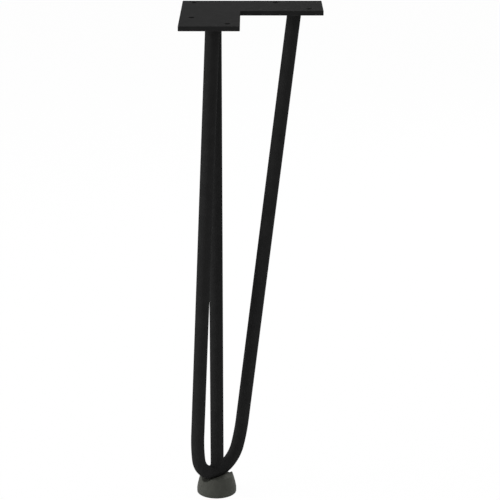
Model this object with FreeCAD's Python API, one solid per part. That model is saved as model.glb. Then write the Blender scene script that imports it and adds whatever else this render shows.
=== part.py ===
import FreeCAD, Part
import math
import os

# A hairpin table leg of black powder-coated steel. An L-shaped plate is screwed under the corner of a
# table top. Two round rods are welded under it: one rod bent into a hairpin, whose plane leans in towards
# the outer corner, and one straight corner rod that stands on the hairpin's bend. The bend sits in a
# groove across the top of a moulded rubber foot.
#
# Frame, in millimetres: the origin lies on the plate's upper face, straight above the foot's centre.
# +Z is up into the table top, +X to the right along the back edge, and -Y towards the viewer. The leg is
# the same on both sides of the diagonal through its outer corner.

# The L-shaped plate: a square with a smaller square cut from its inner corner
plate_side = 120.0
plate_arm_width = 50.0
plate_thickness = 4.0
plate_corner_radius = 0.8
plate_edge_radius = 0.4

# The five screw holes, placed from the plate's edges
screw_hole_diameter = 5.0
screw_hole_margin = 10.0
screw_hole_end_margin = 12.0
screw_hole_pitch = 70.0

# The steel rods and where they meet the plate, measured in from its edges
rod_diameter = 12.0
hairpin_outer_inset = 27.5
hairpin_end_inset = 24.0

# The hairpin's bend: a tight arc round the bottom, eased into each leg by a wide arc
bend_radius = 25.3
easing_radius = 150.0
easing_end_angle = 13.0

# Heights of the whole leg and of its foot
leg_height = 450.0
foot_height = 17.0
foot_inset = 27.5

# The foot: a round, moulded rubber block with a band at its base, and a groove for the rod across its top
foot_base_diameter = 36.0
foot_top_diameter = 29.6
foot_band_height = 4.0
foot_side_bulge = 0.3
foot_base_edge_radius = 0.5
groove_depth = 3.5
groove_side_clearance = 1.4
groove_seat_gap = 0.2

# The welds, and the gap left between the ground end of the corner rod and the bend
plate_weld_leg = 3.5
plate_weld_bulge = 0.3
bend_weld_width = 1.2
bend_weld_height = 1.5
cope_gap = 0.2
cope_end_height = 1.5

up = FreeCAD.Vector(0, 0, 1)
rod_radius = rod_diameter / 2
groove_radius = rod_radius + groove_side_clearance
plate_underside = -plate_thickness
foot_base_height = -leg_height
groove_bottom = foot_base_height + foot_height - groove_depth
bend_bottom = FreeCAD.Vector(0, 0, groove_bottom + groove_seat_gap + rod_radius)

# How far cutting tools and untrimmed bars run past the faces that they meet
overrun = rod_diameter


def from_outer_edges(x_inset, y_inset, z):
    """A point that lies so far in from the plate's left edge and from its back edge."""
    return FreeCAD.Vector(x_inset - foot_inset, foot_inset - y_inset, z)


def rod_between(start, end, radius):
    """A straight round bar between two points."""
    along = end - start
    return Part.makeCylinder(radius, along.Length, start, along)


# The plane of the hairpin: across it from its front leg to its side leg, and down it to the bend
hairpin_front_top = from_outer_edges(hairpin_outer_inset, plate_side - hairpin_end_inset, plate_underside)
hairpin_side_top = from_outer_edges(plate_side - hairpin_end_inset, hairpin_outer_inset, plate_underside)
hairpin_top_middle = (hairpin_front_top + hairpin_side_top) / 2
across = (hairpin_side_top - hairpin_front_top).normalize()
down = bend_bottom - hairpin_top_middle
hairpin_depth = down.Length
down.normalize()
half_spread = (hairpin_side_top - hairpin_front_top).Length / 2


def in_hairpin_plane(sideways, depth):
    """A point in the hairpin's plane, from the middle of its two upper ends."""
    return hairpin_top_middle + across * sideways + down * depth


def arc_point(centre, radius, angle):
    """A point in the hairpin's plane on an arc, at an angle that grows from the side towards the bottom."""
    return (centre[0] + radius * math.cos(angle), centre[1] + radius * math.sin(angle))


def hairpin_corners():
    """Points of one half of the hairpin's centre line, as (sideways, depth) from the top to the bend.

    The bend's arc ends where its tangent has the easing's end angle, the easing arc shares that tangent,
    and the straight leg is the tangent from the rod's upper end to the easing arc.
    """
    handover = math.radians(easing_end_angle)
    bend_centre = (0.0, hairpin_depth - bend_radius)
    bend_start = arc_point(bend_centre, bend_radius, handover)
    easing_centre = (
        bend_start[0] - easing_radius * math.cos(handover),
        bend_start[1] - easing_radius * math.sin(handover),
    )
    to_top = (half_spread - easing_centre[0], -easing_centre[1])
    distance = math.hypot(to_top[0], to_top[1])
    leg_angle = math.atan2(to_top[1], to_top[0]) + math.acos(easing_radius / distance)
    return {
        "top": (half_spread, 0.0),
        "easing start": arc_point(easing_centre, easing_radius, leg_angle),
        "easing middle": arc_point(easing_centre, easing_radius, (leg_angle + handover) / 2),
        "bend start": bend_start,
        "bend bottom": (0.0, hairpin_depth),
        "leg angle": leg_angle,
    }


def hairpin_blank(radius):
    """The bent bar as a sweep along its centre line, with its ends run up past the plate's underside."""
    corners = hairpin_corners()
    lead = (overrun * math.sin(corners["leg angle"]), -overrun * math.cos(corners["leg angle"]))
    raised_top = (corners["top"][0] + lead[0], corners["top"][1] + lead[1])

    def point(name, side):
        sideways, depth = raised_top if name == "raised top" else corners[name]
        return in_hairpin_plane(side * sideways, depth)

    edges = [
        Part.LineSegment(point("raised top", -1), point("easing start", -1)).toShape(),
        Part.Arc(point("easing start", -1), point("easing middle", -1), point("bend start", -1)).toShape(),
        Part.Arc(point("bend start", -1), point("bend bottom", 1), point("bend start", 1)).toShape(),
        Part.Arc(point("bend start", 1), point("easing middle", 1), point("easing start", 1)).toShape(),
        Part.LineSegment(point("easing start", 1), point("raised top", 1)).toShape(),
    ]
    path = Part.Wire(edges)
    start = point("raised top", -1)
    section = Part.Wire(Part.makeCircle(radius, start, point("easing start", -1) - start))
    return path.makePipeShell([section], True, True)


def below_plate(shape):
    """The part of a shape that lies below the plate."""
    reach = 2 * plate_side
    cutter = Part.makeBox(2 * reach, 2 * reach, reach, FreeCAD.Vector(-reach, -reach, plate_underside))
    return shape.cut(cutter)


def mount_plate():
    """The L-shaped plate, cut from sheet, with its sharp edges broken and five screw holes."""
    outline = [
        (0, 0),
        (plate_side, 0),
        (plate_side, plate_arm_width),
        (plate_arm_width, plate_arm_width),
        (plate_arm_width, plate_side),
        (0, plate_side),
    ]
    corners = [from_outer_edges(x_inset, y_inset, plate_underside) for x_inset, y_inset in outline]
    face = Part.Face(Part.makePolygon(corners + corners[:1]))
    plate = face.extrude(up * plate_thickness)
    upright = [edge for edge in plate.Edges if edge.BoundBox.ZLength > plate_edge_radius]
    plate = plate.makeFillet(plate_corner_radius, upright)
    flat = [edge for edge in plate.Edges if edge.BoundBox.ZLength < plate_edge_radius]
    plate = plate.makeFillet(plate_edge_radius, flat)
    for x_inset, y_inset in screw_hole_places():
        below = from_outer_edges(x_inset, y_inset, plate_underside - overrun)
        above = from_outer_edges(x_inset, y_inset, overrun)
        plate = plate.cut(rod_between(below, above, screw_hole_diameter / 2))
    return plate


def screw_hole_places():
    """Hole centres in from the left and back edges: in the corner, along each outer edge and at each end."""
    near = screw_hole_margin
    along = screw_hole_margin + screw_hole_pitch
    end = plate_side - screw_hole_end_margin
    inner = plate_arm_width - screw_hole_margin
    return [(near, near), (along, near), (near, along), (end, inner), (inner, end)]


def hairpin_rod():
    """The bent rod, with both ends cut flat to butt against the plate's underside."""
    return below_plate(hairpin_blank(rod_radius))


def corner_rod_axis():
    """The upright rod's axis: it crosses the hairpin's leaning plane at the top of the bend's bar."""
    above_bend = bend_bottom - down * (rod_radius / -down.z)
    return FreeCAD.Vector(above_bend.x, above_bend.y, 0)


def corner_rod_bar(radius):
    """An upright bar on the corner rod's axis, from where its coped end stops up to the plate."""
    axis = corner_rod_axis()
    return rod_between(axis + up * (bend_bottom.z + cope_end_height), axis + up * plate_underside, radius)


def corner_rod():
    """The straight upright rod, its lower end coped to ride over the bend."""
    return corner_rod_bar(rod_radius).cut(hairpin_blank(rod_radius + cope_gap))


def largest_solid(shape):
    """The largest of a shape's solids."""
    return max(shape.Solids, key=lambda solid: solid.Volume)


def plate_weld(top, direction):
    """A fillet weld round a rod's upper end: a slightly crowned ring about the rod's axis."""
    low = FreeCAD.Vector(rod_radius, 0, plate_weld_leg)
    high = FreeCAD.Vector(rod_radius + plate_weld_leg, 0, 0)
    crown = (low + high) / 2 + FreeCAD.Vector(plate_weld_bulge, 0, plate_weld_bulge)
    raised = FreeCAD.Vector(high.x, 0, -overrun)
    raised_inner = FreeCAD.Vector(low.x, 0, -overrun)
    profile = Part.Wire([
        Part.Arc(low, crown, high).toShape(),
        Part.LineSegment(high, raised).toShape(),
        Part.LineSegment(raised, raised_inner).toShape(),
        Part.LineSegment(raised_inner, low).toShape(),
    ])
    ring = Part.Face(profile).revolve(FreeCAD.Vector(0, 0, 0), up, 360)
    ring.Placement = FreeCAD.Placement(top, FreeCAD.Rotation(up, direction))
    return below_plate(ring)


def bend_weld():
    """The small weld round the coped joint: what lies outside both bars, but close to each of them."""
    near_corner_rod = corner_rod_bar(rod_radius + bend_weld_width)
    near_bend = hairpin_blank(rod_radius + bend_weld_height)
    ring = near_corner_rod.common(near_bend).cut(corner_rod_bar(rod_radius))
    return largest_solid(ring.cut(hairpin_blank(rod_radius)))


def foot():
    """The rubber foot: its profile spun round the upright axis, and grooved along the hairpin's direction."""
    base_radius = foot_base_diameter / 2
    top_radius = foot_top_diameter / 2
    edge = foot_base_edge_radius

    def at(radius, height):
        return FreeCAD.Vector(radius, 0, foot_base_height + height)

    edge_middle = edge * (1 - math.sqrt(0.5))
    edge_start = at(base_radius - edge, 0)
    band_bottom = at(base_radius, edge)
    band_top = at(base_radius, foot_band_height)
    shoulder = at(top_radius, foot_height)
    side_middle = (band_top + shoulder) / 2 + FreeCAD.Vector(foot_side_bulge, 0, 0)
    profile = Part.Wire([
        Part.LineSegment(at(0, 0), edge_start).toShape(),
        Part.Arc(edge_start, at(base_radius - edge_middle, edge_middle), band_bottom).toShape(),
        Part.LineSegment(band_bottom, band_top).toShape(),
        Part.Arc(band_top, side_middle, shoulder).toShape(),
        Part.LineSegment(shoulder, at(0, foot_height)).toShape(),
        Part.LineSegment(at(0, foot_height), at(0, 0)).toShape(),
    ])
    body = Part.Face(profile).revolve(FreeCAD.Vector(0, 0, 0), up, 360)
    reach = across * foot_base_diameter
    groove_middle = up * (groove_bottom + groove_radius)
    return body.cut(rod_between(groove_middle - reach, groove_middle + reach, groove_radius))


def save(name, shape):
    """Checks that a sub-part is one sound solid and writes it to its own file."""
    solid = largest_solid(shape)
    if not solid.isValid() or len(shape.Solids) != 1:
        raise ValueError(name + " is not one sound solid")
    solid.exportStep(os.path.join("parts", name + ".step"))
    print(name, round(solid.Volume, 2), "mm3")


os.makedirs("parts", exist_ok=True)
leg_angle = hairpin_corners()["leg angle"]
front_leg = (across * math.sin(leg_angle) + down * math.cos(leg_angle)).normalize()
side_leg = (across * -math.sin(leg_angle) + down * math.cos(leg_angle)).normalize()
corner_rod_top = corner_rod_axis() + up * plate_underside

save("mount_plate", mount_plate())
save("hairpin_rod", hairpin_rod())
save("corner_rod", corner_rod())
save("front_weld", plate_weld(hairpin_front_top, front_leg))
save("side_weld", plate_weld(hairpin_side_top, side_leg))
save("corner_weld", plate_weld(corner_rod_top, up * -1))
save("bend_weld", bend_weld())
save("foot", foot())
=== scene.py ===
import bpy
import math
import numpy as np
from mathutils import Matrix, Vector


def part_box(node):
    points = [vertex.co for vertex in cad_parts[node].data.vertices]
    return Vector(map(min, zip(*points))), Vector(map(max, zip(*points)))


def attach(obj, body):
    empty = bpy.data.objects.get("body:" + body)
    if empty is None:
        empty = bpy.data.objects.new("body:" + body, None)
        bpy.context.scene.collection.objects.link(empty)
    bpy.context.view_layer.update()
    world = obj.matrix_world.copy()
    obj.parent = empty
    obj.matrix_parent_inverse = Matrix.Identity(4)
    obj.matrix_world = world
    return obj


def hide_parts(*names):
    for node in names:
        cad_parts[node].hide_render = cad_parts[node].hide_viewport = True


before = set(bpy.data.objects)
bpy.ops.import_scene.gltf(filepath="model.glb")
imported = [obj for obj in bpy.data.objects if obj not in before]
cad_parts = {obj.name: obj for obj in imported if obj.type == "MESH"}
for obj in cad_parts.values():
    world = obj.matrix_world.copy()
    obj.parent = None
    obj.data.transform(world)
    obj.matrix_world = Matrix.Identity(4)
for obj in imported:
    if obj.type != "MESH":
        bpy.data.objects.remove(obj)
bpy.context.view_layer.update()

# Mounting plate
# The real piece is an L cut from 4 mm steel sheet, with its sharp edges broken and five plain screw holes.
# Like all the steel of the leg it is powder coated after welding, in a fine-textured, nearly matt black.
mm = 0.001
coat_light = (0.0220, 0.0220, 0.0220, 1.0)
coat_dark = (0.0186, 0.0186, 0.0186, 1.0)
coat_cloud_size = 9.0 * mm
coat_grain_size = 0.6 * mm
coat_flow_size = 2.2 * mm
coat_relief = 0.12 * mm
coat_relief_strength = 1.0
coat_roughness_low = 0.78
coat_roughness_high = 0.88
coat_gloss = 0.007
noise_low = 0.3
noise_high = 0.7


def noise_at(material, size, detail):
    """A noise texture on the piece's own coordinates, whose lumps are about as wide as the size."""
    nodes = material.node_tree.nodes
    links = material.node_tree.links
    place = nodes.new("ShaderNodeTexCoord")
    noise = nodes.new("ShaderNodeTexNoise")
    noise.inputs["Scale"].default_value = 1.0 / size
    noise.inputs["Detail"].default_value = detail
    links.new(place.outputs["Object"], noise.inputs["Vector"])
    return noise.outputs["Fac"]


def mottle(material, fac, low, high):
    """Colours the surface from the low colour to the high one as the noise rises through its usual range."""
    nodes = material.node_tree.nodes
    links = material.node_tree.links
    ramp = nodes.new("ShaderNodeValToRGB")
    ramp.color_ramp.elements[0].position = noise_low
    ramp.color_ramp.elements[0].color = low
    ramp.color_ramp.elements[1].position = noise_high
    ramp.color_ramp.elements[1].color = high
    links.new(fac, ramp.inputs["Fac"])
    links.new(ramp.outputs["Color"], nodes["Principled BSDF"].inputs["Base Color"])


def vary_roughness(material, fac, low, high):
    """Spreads the roughness between two values as the noise rises through its usual range."""
    nodes = material.node_tree.nodes
    links = material.node_tree.links
    spread = nodes.new("ShaderNodeMapRange")
    spread.inputs["From Min"].default_value = noise_low
    spread.inputs["From Max"].default_value = noise_high
    spread.inputs["To Min"].default_value = low
    spread.inputs["To Max"].default_value = high
    links.new(fac, spread.inputs["Value"])
    links.new(spread.outputs["Result"], nodes["Principled BSDF"].inputs["Roughness"])


def raise_relief(material, coarse, fine, depth, strength):
    """Adds a relief of two noises to the surface, the fine one standing on the coarse one."""
    nodes = material.node_tree.nodes
    links = material.node_tree.links
    under = nodes.new("ShaderNodeBump")
    under.inputs["Strength"].default_value = strength
    under.inputs["Distance"].default_value = depth
    links.new(coarse, under.inputs["Height"])
    over = nodes.new("ShaderNodeBump")
    over.inputs["Strength"].default_value = strength
    over.inputs["Distance"].default_value = depth
    links.new(fine, over.inputs["Height"])
    links.new(under.outputs["Normal"], over.inputs["Normal"])
    links.new(over.outputs["Normal"], nodes["Principled BSDF"].inputs["Normal"])


coat = bpy.data.materials.new("black_powder_coat")
coat.use_nodes = True
coat.node_tree.nodes["Principled BSDF"].inputs["Specular IOR Level"].default_value = coat_gloss
coat_grain = noise_at(coat, coat_grain_size, detail=2.0)
coat_cloud = noise_at(coat, coat_cloud_size, detail=3.0)
coat_flow = noise_at(coat, coat_flow_size, detail=1.0)
mottle(coat, coat_cloud, coat_dark, coat_light)
vary_roughness(coat, coat_grain, coat_roughness_low, coat_roughness_high)
raise_relief(coat, coat_flow, coat_grain, coat_relief, coat_relief_strength)

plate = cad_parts["mount_plate"]
plate.data.materials.clear()
plate.data.materials.append(coat)

# Hairpin rod
# One 12 mm round bar, bent cold into a hairpin round a former, its legs eased into the bend by wide arcs.
# Its plane leans, so that both ends butt against the plate's underside while the bend stands over the foot.
rod_radius = 6.0 * mm
hairpin_outer_inset = 27.5 * mm
hairpin_end_inset = 24.0 * mm
bend_radius = 25.3 * mm
easing_radius = 150.0 * mm
easing_end_angle = math.radians(13.0)
bend_seat_depth = 3.3 * mm
weld_root = 0.15 * mm
rod_sides = 72
leg_steps = 60
easing_steps = 40
bend_steps = 90
sharp_edge_angle = math.radians(50.0)

plate_low, plate_high = (np.array(corner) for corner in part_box("mount_plate"))
foot_low, foot_high = (np.array(corner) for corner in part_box("foot"))
underside = plate_low[2]
bend_bottom = np.array([
    (foot_low[0] + foot_high[0]) / 2,
    (foot_low[1] + foot_high[1]) / 2,
    foot_high[2] - bend_seat_depth + rod_radius,
])
front_top = np.array([plate_low[0] + hairpin_outer_inset, plate_low[1] + hairpin_end_inset, underside])
side_top = np.array([plate_high[0] - hairpin_end_inset, plate_high[1] - hairpin_outer_inset, underside])


def unit(vectors):
    """Vectors of the same directions and of length one."""
    return vectors / np.linalg.norm(vectors, axis=-1, keepdims=True)


hairpin_top = (front_top + side_top) / 2
across = unit(side_top - front_top)
down = unit(bend_bottom - hairpin_top)
leaning = unit(np.cross(across, down))
half_spread = np.linalg.norm(side_top - front_top) / 2
hairpin_depth = np.linalg.norm(bend_bottom - hairpin_top)
bend_centre_depth = hairpin_depth - bend_radius


def half_hairpin():
    """Centre line of the side leg, as (sideways, depth) rows from the plate to the bottom of the bend.

    It is the tangent from the rod's upper end to the easing arc, then the easing arc up to the angle at which
    it hands over to the bend, then the bend's own arc down to its bottom.
    """
    handover = np.array([math.cos(easing_end_angle), math.sin(easing_end_angle)])
    bend_start = np.array([0.0, bend_centre_depth]) + bend_radius * handover
    easing_centre = bend_start - easing_radius * handover
    to_top = np.array([half_spread, 0.0]) - easing_centre
    leg_angle = math.atan2(to_top[1], to_top[0]) + math.acos(easing_radius / np.linalg.norm(to_top))
    easing = np.linspace(leg_angle, easing_end_angle, easing_steps)[:, None]
    easing = easing_centre + easing_radius * np.hstack([np.cos(easing), np.sin(easing)])
    straight = np.linspace(0.0, 1.0, leg_steps, endpoint=False)[:, None]
    straight = np.array([half_spread, 0.0]) * (1 - straight) + easing[0] * straight
    turn = np.linspace(easing_end_angle, math.pi / 2, bend_steps)[1:, None]
    turn = np.array([0.0, bend_centre_depth]) + bend_radius * np.hstack([np.cos(turn), np.sin(turn)])
    return np.vstack([straight, easing, turn])


def round_bar(centres, inward):
    """Rings of a round bar along a flat centre line, and the line's direction at each ring.

    A ring's point is the centre, plus the radius times the cosine of its angle across the bar in the centre
    line's plane, plus the radius times the sine along that plane's normal.
    """
    along = unit(np.gradient(centres, axis=0))
    beside = unit(np.cross(along, inward))
    angle = np.linspace(0.0, 2 * math.pi, rod_sides, endpoint=False)[None, :, None]
    rings = centres[:, None] + rod_radius * (np.cos(angle) * beside[:, None] + np.sin(angle) * inward)
    return rings, along


def run_to_height(ring, along, height):
    """Slides each point of a ring along the bar until it lies at one height."""
    return ring + (height - ring[:, 2:3]) / along[2] * along


def shell(name, rings, closed, material):
    """One closed piece from a grid of points, whose rings wrap round.

    Ring i, point j is a corner of the four-sided face between rings i and i + 1. The last ring joins the
    first where the grid is closed, and otherwise each end ring is filled by a fan round its middle point.
    Edges sharper than the sharp edge angle stay crisp, and the rest is shaded smooth.
    """
    ring_count, side_count = rings.shape[:2]
    index = np.arange(ring_count * side_count).reshape(ring_count, side_count)
    start = index if closed else index[:-1]
    end = np.roll(index, -1, axis=0) if closed else index[1:]
    faces = np.stack([start, end, np.roll(end, -1, axis=1), np.roll(start, -1, axis=1)], axis=-1)
    points = rings.reshape(-1, 3)
    faces = faces.reshape(-1, 4).tolist()
    if not closed:
        points = np.vstack([points, rings[0].mean(axis=0), rings[-1].mean(axis=0)])
        first, last = len(points) - 2, len(points) - 1
        faces += np.stack([index[0], np.roll(index[0], -1), np.full(side_count, first)], axis=-1).tolist()
        faces += np.stack([np.roll(index[-1], -1), index[-1], np.full(side_count, last)], axis=-1).tolist()
    mesh = bpy.data.meshes.new(name)
    mesh.from_pydata(points.tolist(), [], faces)
    mesh.polygons.foreach_set("use_smooth", np.ones(len(mesh.polygons), bool))
    mesh.set_sharp_from_angle(angle=sharp_edge_angle)
    mesh.materials.append(material)
    piece = bpy.data.objects.new(name, mesh)
    bpy.context.scene.collection.objects.link(piece)
    return piece


side_half = half_hairpin()
front_half = side_half[-2::-1] * np.array([-1.0, 1.0])
flat_line = np.vstack([side_half, front_half])
hairpin_line = hairpin_top + flat_line[:, :1] * across + flat_line[:, 1:] * down
hairpin_rings, hairpin_along = round_bar(hairpin_line, leaning)
hairpin_rings[0] = run_to_height(hairpin_rings[0], hairpin_along[0], underside + weld_root)
hairpin_rings[-1] = run_to_height(hairpin_rings[-1], hairpin_along[-1], underside + weld_root)
hairpin = shell("hairpin_bar", hairpin_rings, False, coat)
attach(hairpin, "root")
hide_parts("hairpin_rod")

# Corner rod
# A straight length of the same 12 mm bar, upright under the plate's corner. Its lower end is coped to fit
# over the bend, where it is welded all round.
cope_root = 0.3 * mm
cope_end_height = 1.5 * mm
cope_reach = 2 * rod_radius
cope_halvings = 40
corner_sides = 4 * rod_sides
corner_axis = bend_bottom - down * (rod_radius / -down[2])
corner_angle = np.linspace(2 * math.pi, 0.0, corner_sides, endpoint=False)
corner_out = np.stack([np.cos(corner_angle), np.sin(corner_angle), np.zeros_like(corner_angle)], axis=-1)


def from_bend_line(points):
    """Vectors to points from the nearest place on the bend's centre line."""
    from_centre = points - (hairpin_top + down * bend_centre_depth)
    lift = from_centre @ leaning
    in_plane = from_centre - lift[..., None] * leaning
    return from_centre - bend_radius * unit(in_plane)


def cope_heights():
    """Heights at which the corner rod's surface meets the bend's bar, found by halving an interval.

    A point is inside the bar where it is nearer to the bend's centre line than the bar's radius. Where the
    surface stands clear of the bar, the rod ends at the height of its flat trimmed end.
    """
    inside = np.full(len(corner_angle), bend_bottom[2] + cope_end_height)
    outside = inside + cope_reach
    points = corner_axis + rod_radius * corner_out
    for halving in range(cope_halvings):
        middle = (inside + outside) / 2
        points[:, 2] = middle
        buried = np.linalg.norm(from_bend_line(points), axis=-1) < rod_radius
        inside = np.where(buried, middle, inside)
        outside = np.where(buried, outside, middle)
    return outside


up = np.array([0.0, 0.0, 1.0])
cope_edge = np.column_stack([(corner_axis + rod_radius * corner_out)[:, :2], cope_heights()])
corner_bottom = cope_edge - cope_root * up
corner_top = corner_bottom * np.array([1.0, 1.0, 0.0]) + (underside + weld_root) * up
rise = np.linspace(0.0, 1.0, leg_steps)[:, None, None]
corner = shell("corner_bar", corner_bottom * (1 - rise) + corner_top * rise, False, coat)
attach(corner, "root")
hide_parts("corner_rod")

# Bend weld
# The joint of corner rod and bend is welded all round, then ground to a small hollow fillet, so that under
# the coat the two bars run into each other with hardly a line.
bend_weld_leg = 1.9 * mm
bend_weld_share = 0.35
bend_weld_rise = 0.15 * mm
bend_weld_steps = 12


def onto_bend(points):
    """The nearest points on the surface of the bend's bar."""
    away = from_bend_line(points)
    return points - away + rod_radius * unit(away)


def ground_bead():
    """Rings round the fillet's section, one for each angle round the corner rod.

    The outer side is a quadratic Bezier curve from a toe on the corner rod to a toe on the bend. Its middle
    control point lies on the way from the joint's edge to the toes' middle, by a share of it, and then out by
    a rise. The inner side is sunk below both bars.
    """
    bend_out = unit(from_bend_line(cope_edge))
    along_edge = unit(np.roll(cope_edge, -1, axis=0) - np.roll(cope_edge, 1, axis=0))
    over_bend = unit(np.cross(bend_out, along_edge))
    outward = unit(corner_out + bend_out)
    rod_toe = cope_edge + bend_weld_leg * up
    bend_toe = onto_bend(cope_edge + bend_weld_leg * over_bend)
    filled = (1 - bend_weld_share) * cope_edge + bend_weld_share * (rod_toe + bend_toe) / 2
    middle = filled + bend_weld_rise * outward
    t = np.linspace(0.0, 1.0, bend_weld_steps)[None, :, None]
    curve = (1 - t) ** 2 * rod_toe[:, None] + 2 * t * (1 - t) * middle[:, None] + t ** 2 * bend_toe[:, None]
    sunk = np.stack([
        bend_toe - weld_root * unit(from_bend_line(bend_toe)),
        cope_edge - cope_root * outward,
        rod_toe - weld_root * corner_out,
    ], axis=1)
    return np.concatenate([curve, sunk], axis=1)


bend_bead = shell("bend_bead", ground_bead(), True, coat)
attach(bend_bead, "root")
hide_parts("bend_weld")

# Plate welds
# Each rod's upper end is joined to the plate's underside by one fillet weld laid round it in overlapping
# crescents. The run closes on its own start with a small lump. The welds stay as laid, under the coat.
plate_weld_leg = 3.4 * mm
plate_weld_power = 1.5
ripple_count = 34
ripple_height = 0.16 * mm
ripple_lag = 2.4
ripple_samples = 10
section_steps = 16
front_lump_angle = 2.2
side_lump_angle = 0.9
corner_lump_angle = 3.9
lump_width = math.radians(16.0)
lump_share = 0.16
lump_smoothing = 0.7
wander_share = 0.04
wander_waves = 3


def laid_bead(top, along, lump_angle):
    """Rings round a fillet weld's section, one for each angle round the rod.

    In a section, the distance out from the rod is the leg times a power of the sine of an angle that runs
    from 0 to 90 degrees, and the distance down the rod is the leg times the same power of its cosine.
    Crescents stand out from that by the ripple's height times the size of the cosine of half a phase, and
    fade out at both toes by the sine of twice the angle. The phase grows round the rod, and the lag is added
    to it halfway between the toes. The leg wanders in a few waves round the rod. Where the run closes it
    swells into a lump, which is smoother.
    """
    turn = np.linspace(0.0, 2 * math.pi, ripple_count * ripple_samples, endpoint=False)
    first = unit(np.cross(along, across))
    second = np.cross(along, first)
    radial = np.cos(turn)[:, None] * first + np.sin(turn)[:, None] * second
    flat = radial - radial[:, 2:3] / along[2] * along
    foot_line = top + rod_radius * flat
    flat = unit(flat)
    from_lump = (turn - lump_angle + math.pi) % (2 * math.pi) - math.pi
    lump = np.exp(-(from_lump / lump_width) ** 2)
    wander = np.sin(wander_waves * turn + lump_angle)
    leg = plate_weld_leg * (1 + lump_share * lump + wander_share * wander)
    section = np.linspace(0.0, math.pi / 2, section_steps)
    out = leg[:, None] * np.sin(section) ** plate_weld_power
    below = leg[:, None] * np.cos(section) ** plate_weld_power
    phase = ripple_count * turn[:, None] + ripple_lag * np.sin(2 * section)
    ripple = ripple_height * np.abs(np.cos(phase / 2)) * np.sin(2 * section)
    ripple *= 1 - lump_smoothing * lump[:, None]
    push = unit(flat - along)
    outer = foot_line[:, None] + out[..., None] * flat[:, None] - below[..., None] * along
    outer += ripple[..., None] * push[:, None]
    sunk = np.stack([
        outer[:, -1] + weld_root * up,
        foot_line - weld_root * flat + weld_root * up,
        outer[:, 0] - weld_root * radial,
    ], axis=1)
    return np.concatenate([outer, sunk], axis=1)


corner_weld_top = np.array([corner_axis[0], corner_axis[1], underside])
for name, node, top, along, lump_angle in (
    ("front_bead", "front_weld", front_top, hairpin_along[-1], front_lump_angle),
    ("side_bead", "side_weld", side_top, -hairpin_along[0], side_lump_angle),
    ("corner_bead", "corner_weld", corner_weld_top, up, corner_lump_angle),
):
    bead = shell(name, laid_bead(top, along, lump_angle), True, coat)
    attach(bead, "root")
    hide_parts(node)

# Foot
# A block of dark grey rubber, moulded round with a narrow band at its base and sides that draw in upwards,
# and grooved across its top for the bend, which is bonded into it. Its skin is matt from the mould.
rubber_light = (0.0665, 0.0680, 0.0585, 1.0)
rubber_dark = (0.0548, 0.0560, 0.0482, 1.0)
rubber_cloud_size = 5.0 * mm
rubber_grain_size = 0.35 * mm
rubber_relief = 0.04 * mm
rubber_relief_strength = 0.7
rubber_roughness_low = 0.7
rubber_roughness_high = 0.85
rubber_gloss = 0.2

rubber = bpy.data.materials.new("dark_grey_rubber")
rubber.use_nodes = True
rubber.node_tree.nodes["Principled BSDF"].inputs["Specular IOR Level"].default_value = rubber_gloss
rubber_grain = noise_at(rubber, rubber_grain_size, detail=3.0)
rubber_cloud = noise_at(rubber, rubber_cloud_size, detail=4.0)
mottle(rubber, rubber_cloud, rubber_dark, rubber_light)
vary_roughness(rubber, rubber_grain, rubber_roughness_low, rubber_roughness_high)
raise_relief(rubber, rubber_cloud, rubber_grain, rubber_relief, rubber_relief_strength)

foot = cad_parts["foot"]
foot.data.materials.clear()
foot.data.materials.append(rubber)

# Floor and surroundings
# The leg stands on a wide white floor under a white sky. Seen, mirrored or seen through they are white, and
# they light the leg at a plain level.
floor_reach = 12.0
floor_colour = (0.9, 0.9, 0.9, 1.0)
floor_gloss = 0.0
floor_glow_share = 0.975
sky_colour = (1.0, 1.0, 1.0, 1.0)
sky_light = 0.48
sky_seen = 1.0


def background_ray(nodes, links):
    """One where a ray comes from the camera, a reflection or a see-through surface, and otherwise nought."""
    ray = nodes.new("ShaderNodeLightPath")
    either = nodes.new("ShaderNodeMath")
    either.operation = "MAXIMUM"
    links.new(ray.outputs["Is Camera Ray"], either.inputs[0])
    links.new(ray.outputs["Is Glossy Ray"], either.inputs[1])
    any_of_them = nodes.new("ShaderNodeMath")
    any_of_them.operation = "MAXIMUM"
    links.new(either.outputs["Value"], any_of_them.inputs[0])
    links.new(ray.outputs["Is Transmission Ray"], any_of_them.inputs[1])
    return any_of_them.outputs["Value"]


paper = bpy.data.materials.new("white_floor")
paper.use_nodes = True
paper_nodes = paper.node_tree.nodes
paper_links = paper.node_tree.links
paper_nodes["Principled BSDF"].inputs["Base Color"].default_value = floor_colour
paper_nodes["Principled BSDF"].inputs["Specular IOR Level"].default_value = floor_gloss
paper_glow = paper_nodes.new("ShaderNodeEmission")
paper_share = paper_nodes.new("ShaderNodeMath")
paper_share.operation = "MULTIPLY"
paper_share.inputs[1].default_value = floor_glow_share
paper_links.new(background_ray(paper_nodes, paper_links), paper_share.inputs[0])
paper_mix = paper_nodes.new("ShaderNodeMixShader")
paper_links.new(paper_share.outputs["Value"], paper_mix.inputs["Fac"])
paper_links.new(paper_nodes["Principled BSDF"].outputs["BSDF"], paper_mix.inputs[1])
paper_links.new(paper_glow.outputs["Emission"], paper_mix.inputs[2])
paper_links.new(paper_mix.outputs["Shader"], paper_nodes["Material Output"].inputs["Surface"])

floor_mesh = bpy.data.meshes.new("floor")
floor_corners = floor_reach * np.array([[-1, -1, 0], [1, -1, 0], [1, 1, 0], [-1, 1, 0]]) + foot_low[2] * up
floor_mesh.from_pydata(floor_corners.tolist(), [], [(0, 1, 2, 3)])
floor_mesh.materials.append(paper)
floor = bpy.data.objects.new("floor", floor_mesh)
bpy.context.scene.collection.objects.link(floor)

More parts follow.
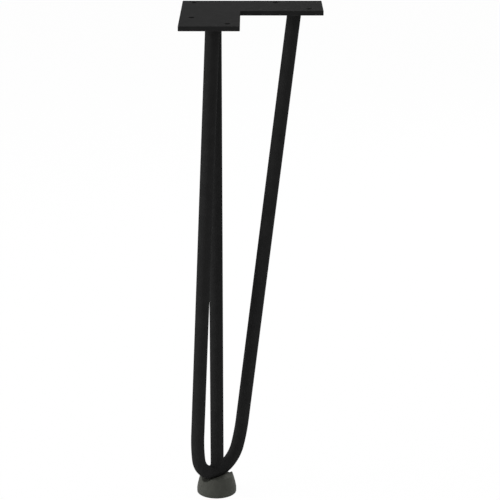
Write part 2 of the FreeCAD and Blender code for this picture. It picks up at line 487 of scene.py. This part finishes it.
sky = bpy.data.worlds.new("white_sky")
sky.use_nodes = True
sky_level = sky.node_tree.nodes.new("ShaderNodeMapRange")
sky_level.inputs["To Min"].default_value = sky_light
sky_level.inputs["To Max"].default_value = sky_seen
sky.node_tree.nodes["Background"].inputs["Color"].default_value = sky_colour
sky.node_tree.links.new(background_ray(sky.node_tree.nodes, sky.node_tree.links), sky_level.inputs["Value"])
sky.node_tree.links.new(sky_level.outputs["Result"], sky.node_tree.nodes["Background"].inputs["Strength"])
bpy.context.scene.world = sky

# Lamps
# Three soft lamps: one high behind the leg, for what faces up, a low one on the left, which shades the rods
# and the foot from left to right, and a weaker one behind on the right for the foot's other rim.
aim = np.array([20.0, -20.0, -250.0]) * mm
lamp_distance = 1.6


def soft_lamp(name, bearing, elevation, size, power):
    """A square lamp facing the leg, at a bearing from the viewer round to the right and a height angle."""
    light = bpy.data.lights.new(name, "AREA")
    light.size = size
    light.energy = power
    lamp = bpy.data.objects.new(name, light)
    lamp.rotation_euler = (math.pi / 2 - math.radians(elevation), 0.0, math.radians(bearing))
    towards = lamp.rotation_euler.to_matrix() @ Vector((0.0, 0.0, 1.0))
    lamp.location = aim + lamp_distance * np.array(towards)
    bpy.context.scene.collection.objects.link(lamp)


soft_lamp("high_lamp", bearing=-170.0, elevation=65.0, size=0.4, power=13.0)
soft_lamp("left_lamp", bearing=-80.0, elevation=10.0, size=0.5, power=12.0)
soft_lamp("right_lamp", bearing=140.0, elevation=12.0, size=0.6, power=8.0)

# Camera
# It looks along the plate's arms from in front, a little from above, as the photograph does.
camera_place = (30.67 * mm, -1576.18 * mm, 279.78 * mm)
camera_pitch = math.radians(17.506)
focal_length = 134.41
sensor_width = 36.0
view_lens = bpy.data.cameras.new("camera")
view_lens.sensor_width = sensor_width
view_lens.lens = focal_length
camera = bpy.data.objects.new("camera", view_lens)
camera.location = camera_place
camera.rotation_euler = (math.pi / 2 - camera_pitch, 0.0, 0.0)
bpy.context.scene.collection.objects.link(camera)
bpy.context.scene.camera = camera
bpy.context.scene.view_settings.view_transform = "Standard"
